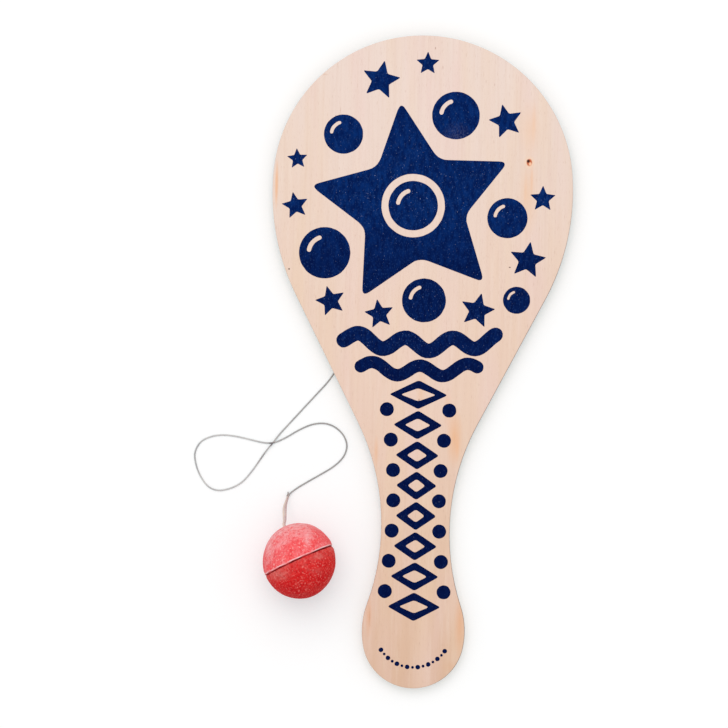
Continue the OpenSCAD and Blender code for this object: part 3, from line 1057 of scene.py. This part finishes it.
def red_growth(turn, z, reach):
    """How far the red half's skin moves out, at a turn from the seam's right end."""
    grown = 0.0
    if GAP_LOW < z < GAP_HIGH:
        grown -= GAP_DEEP * fading(turn, GAP_TURN) * (1 - z / GAP_LOW)
    crease_depth = BALL_R - SEAM_STEP - reach
    return grown + CREASE_CLOSED * crease_depth * fading(pi - turn, CREASE_CLOSED_TURN)


def pale_growth(turn, z):
    """How far the pale half's skin moves out, at a turn from the seam's right end."""
    if z >= PALE_DRAWN_HIGH:
        return 0.0
    at_end = fading(min(turn, pi - turn), PALE_DRAWN_TURN)
    return -PALE_DRAWN_IN * at_end * (1 - z / PALE_DRAWN_HIGH)


def lumpy(r, z, angle, is_red):
    """A profile point turned to an angle, with the skin slightly out of round."""
    point = Vector((r * cos(angle), r * sin(angle), z))
    reach = point.length
    if reach < LAP_R + INSIDE_MARGIN:
        return point
    way = point / reach
    grown = LUMP * noise.noise(way * LUMP_RATE + LUMP_PLACE) - SHRUNK
    grown += PIMPLE * noise.noise(way * PIMPLE_RATE)
    at_seam = fading(abs(z), SEAM_NEAR)
    grown -= LIP_WORN * at_seam
    round_place = Vector((cos(angle), sin(angle), SEAM_WAVE_LEVEL)) * SEAM_WAVE_RATE
    lift = at_seam * (SEAM_RISE + SEAM_TILT * cos(angle) + SEAM_WAVE * noise.noise(round_place))
    turn = min(angle, 2 * pi - angle)
    grown += red_growth(turn, z, reach) if is_red else pale_growth(turn, z)
    return way * (reach + grown) + Vector((0, 0, lift))


def oval(point):
    centre = Vector(BALL_CENTRE) * MM
    off = point - centre
    if off.length < LAP_R * MM:
        return point
    return centre + Vector((off.x * OVAL.x, off.y * OVAL.y, off.z))


def turned(name, profile, closed_loop, is_red):
    """A solid of revolution of a profile, closed on itself or at the axis."""
    rings = []
    for r, z in profile:
        rings.append([
            oval(on_ball @ lumpy(r, z, 2 * pi * k / BALL_SIDES, is_red)) for k in range(BALL_SIDES)
        ])
    points = [p for ring in rings for p in ring]
    return mesh_piece(name, points, bridge(rings, loop=closed_loop), smooth_under=50)


# Along the hole's axis in millimetres: where the painted shade on the rubber's far end is full, and
# where it ends
FAR_END_SHADE_AT = (-14, -2)
# How far the bands at the seam waver, and how softly they start and end
BAND_WAVER = 0.12
BAND_SOFT_START = 0.12
BAND_SOFT_END = 0.2
DUST_SPOT_SOFT = 0.9


def seam_colour(look, colour, place, bands):
    """Bands along the uneven seam, broken in places: start, end, tone and strength of each.
    The dark bands are painted shade in the crease under the lip.
    """
    waver = look.noise((3.5, 3.5, 3.5), detail=2, seed=61.0, place=place)
    waver = look.spread(waver, 0.3, 0.7, -BAND_WAVER * MM, BAND_WAVER * MM)
    tilted = look.times(look.axis("X", place), -SEAM_TILT / BALL_R)
    wavy = look.maths("ADD", look.maths("ADD", look.axis("Z", place), tilted), waver)
    patchy = look.spread(look.noise((4, 4, 4), detail=2, seed=77.0, place=place), 0.36, 0.58, 0.35, 1)
    for start, end, tone, strength in bands:
        above = look.spread(wavy, (start - BAND_SOFT_START) * MM, start * MM)
        below = look.spread(wavy, end * MM, (end + BAND_SOFT_END) * MM, 1, 0)
        inside = look.times(look.times(above, below), patchy)
        colour = look.tint(colour, inside, strength, tone)
    return colour


def rubber_look(
    name, tones, patch, dust, dust_seed, pits_and_shade, specks, seam, dusty_level, dusty_spots, far_end_shade,
):
    """Aged rubber: soft patches, chalky dust, dark pits and pale specks, and bands at the seam, with
    painted shade in the seam's crease and at the far end.

    dusty_level is where along the hole's axis the dust starts and is full, and its strength. Each
    dusty spot has x, y, half width, half height and strength. The last gives painted shade at the far
    end."""
    look = Look(name, 0.78, specular=0.1)
    place = look.local(Location=Vector(BALL_CENTRE) * MM, Rotation=(-pi / 2 - dip, 0, heading))
    level = look.axis("Z", place)
    blotch = look.noise((7, 7, 7), detail=3, seed=1.5, place=place)
    colour = look.mix(look.spread(blotch, 0.38, 0.64), srgb(*tones[0]), srgb(*tones[1]))
    colour, fine = look.layer(colour, (1.1, 1.1, 1.1), 3, 5.5, 0.46, 0.66, 0.55, patch, place=place)
    colour, chalk = look.layer(colour, (5, 5, 5), 4, dust_seed, 0.56, 0.76, 0.45, dust, place=place)
    powder = look.noise((1.6, 1.6, 1.6), detail=4, seed=dust_seed + 9, place=place)
    start, full, most = dusty_level
    thick = look.spread(level, start * MM, full * MM, 0, most)
    thick = look.times(thick, look.spread(powder, 0.34, 0.62, 0.15, 0.85))
    colour = look.mix(thick, colour, srgb(*dust))
    # Painted shade: darker towards the far end of the half, in the pits' tone
    darker = look.spread(level, FAR_END_SHADE_AT[0] * MM, FAR_END_SHADE_AT[1] * MM, far_end_shade, 0)
    colour = look.mix(darker, colour, srgb(*pits_and_shade))
    for *spot, strength in dusty_spots:
        settled = look.times(look.spot(*spot, DUST_SPOT_SOFT), strength)
        settled = look.times(settled, look.spread(powder, 0.34, 0.60, 0.3, 1))
        colour = look.mix(settled, colour, srgb(*dust))
    colour, _ = look.layer(colour, (0.85, 0.85, 0.85), 2, 8.5, 0.54, 0.74, 0.55, pits_and_shade, place=place)
    colour, light = look.layer(colour, (0.8, 0.8, 0.8), 3, 12.5, 0.54, 0.74, 0.8, specks, place=place)
    colour = seam_colour(look, colour, place, seam)
    relief = look.mix(0.6, fine, light)
    return look.finished(colour, relief, 0.09, look.spread(chalk, 0.35, 0.65, 0.60, 0.85))


pale_rubber = rubber_look(
    "pale_red_rubber",
    tones=[(250, 86, 88), (251, 116, 120)], patch=(234, 62, 66),
    dust=(255, 200, 202), dust_seed=22.0, pits_and_shade=(206, 40, 54), specks=(255, 190, 188),
    # The dark band is painted shade under the lip
    seam=[(0.52, 0.88, (255, 204, 206), 0.95), (-0.2, 0.42, (118, 2, 16), 0.85)],
    dusty_level=(7.5, 14, 0.9),
    dusty_spots=[(-62.2, -82.0, 2.4, 6.5, 0.7), (-46.0, -76.0, 2.4, 5.5, 0.6)],
    far_end_shade=0.0,
)
red_rubber = rubber_look(
    "red_rubber",
    tones=[(219, 18, 24), (229, 40, 38)], patch=(190, 8, 15),
    dust=(220, 114, 108), dust_seed=33.0, pits_and_shade=(136, 8, 16), specks=(246, 130, 122),
    # A band of painted shade in the crease at the seam
    seam=[(-0.08, 0.6, (112, 0, 12), 0.95)],
    dusty_level=(-6, 0, 0.6),
    dusty_spots=[(-57.7, -91.8, 4.2, 3.0, 0.95), (-41.3, -83.3, 2.8, 1.8, 0.8)],
    # Painted shade at the red half's far end
    far_end_shade=0.26,
)
pale_half = turned("ball_pale_half", eyed_profile(), closed_loop=True, is_red=False)
dress(pale_half, "ball", pale_rubber, "pale_red_rubber", "ball_eyed_half")
red_half = turned("ball_red_half", plain_profile(), closed_loop=False, is_red=True)
dress(red_half, "ball", red_rubber, "red_rubber", "ball_plain_half")

# Floor, world and lamp
FLOOR_HALF = 4.0
# The floor's paleness in the light that it throws on the object
FLOOR_WHITE = 0.70
# How deep the seen floor's shade is in red, green and blue, so that warm light in it stays grey
FLOOR_SEEN = (0.88, 0.76, 0.74)
# The seen floor in full light, just past white
FLOOR_TOTAL = 1.03
WORLD_LIGHT = 0.785
WORLD_SEEN = 1
LAMP_AT = Vector((-0.22, 0.85, 1.75))
LAMP_SIZE = 1.7
LAMP_POWER = 11.5


def joined(tree, kind, *sources):
    """A new node whose inputs are fed by the sources in turn."""
    node = tree.nodes.new(kind)
    for socket, source in zip(node.inputs, sources):
        tree.links.new(source, socket)
    return node


def seen_ray(tree):
    """1 for rays from the camera and for reflected and refracted ones."""
    path = tree.nodes.new("ShaderNodeLightPath")
    seen = path.outputs["Is Camera Ray"]
    for kind in ("Is Glossy Ray", "Is Transmission Ray"):
        either = joined(tree, "ShaderNodeMath", seen, path.outputs[kind])
        either.operation = "MAXIMUM"
        seen = either.outputs[0]
    return seen


def coloured(tree, kind, colour):
    """The output of a new shader node of a colour."""
    node = tree.nodes.new(kind)
    node.inputs["Color"].default_value = (*colour, 1)
    return node.outputs[0]


def floor_look():
    """A matt floor for the object's light. Where it is seen, a glow fills it up to white."""
    material = bpy.data.materials.new("floor_white")
    material.use_nodes = True
    tree = material.node_tree
    tree.nodes.clear()
    matt = coloured(tree, "ShaderNodeBsdfDiffuse", [FLOOR_WHITE] * 3)
    matt_seen = coloured(tree, "ShaderNodeBsdfDiffuse", FLOOR_SEEN)
    glow = coloured(tree, "ShaderNodeEmission", [FLOOR_TOTAL - share for share in FLOOR_SEEN])
    seen = joined(tree, "ShaderNodeAddShader", matt_seen, glow).outputs[0]
    either = joined(tree, "ShaderNodeMixShader", seen_ray(tree), matt, seen).outputs[0]
    joined(tree, "ShaderNodeOutputMaterial", either)
    return material


floor_corners = [
    (x * FLOOR_HALF, y * FLOOR_HALF, 0) for x, y in ((-1, -1), (1, -1), (1, 1), (-1, 1))
]
floor_mesh = bpy.data.meshes.new("floor")
floor_mesh.from_pydata(floor_corners, [], [(0, 1, 2, 3)])
floor_mesh.materials.append(floor_look())
floor = put("floor", floor_mesh)

world = bpy.data.worlds.new("studio")
world.use_nodes = True
bpy.context.scene.world = world
world_tree = world.node_tree
sky = world_tree.nodes["Background"]
sky.inputs["Color"].default_value = (1, 1, 1, 1)
sky_strength = joined(world_tree, "ShaderNodeMapRange", seen_ray(world_tree))
sky_strength.inputs["To Min"].default_value = WORLD_LIGHT
sky_strength.inputs["To Max"].default_value = WORLD_SEEN
world_tree.links.new(sky_strength.outputs["Result"], sky.inputs["Strength"])

lamp_data = bpy.data.lights.new("soft_lamp", "AREA")
lamp_data.size = LAMP_SIZE
lamp_data.energy = LAMP_POWER
lamp = put("soft_lamp", lamp_data)
lamp.location = LAMP_AT
lamp.rotation_euler = (-LAMP_AT).to_track_quat("-Z", "Y").to_euler()

bpy.context.scene.view_settings.view_transform = "Standard"
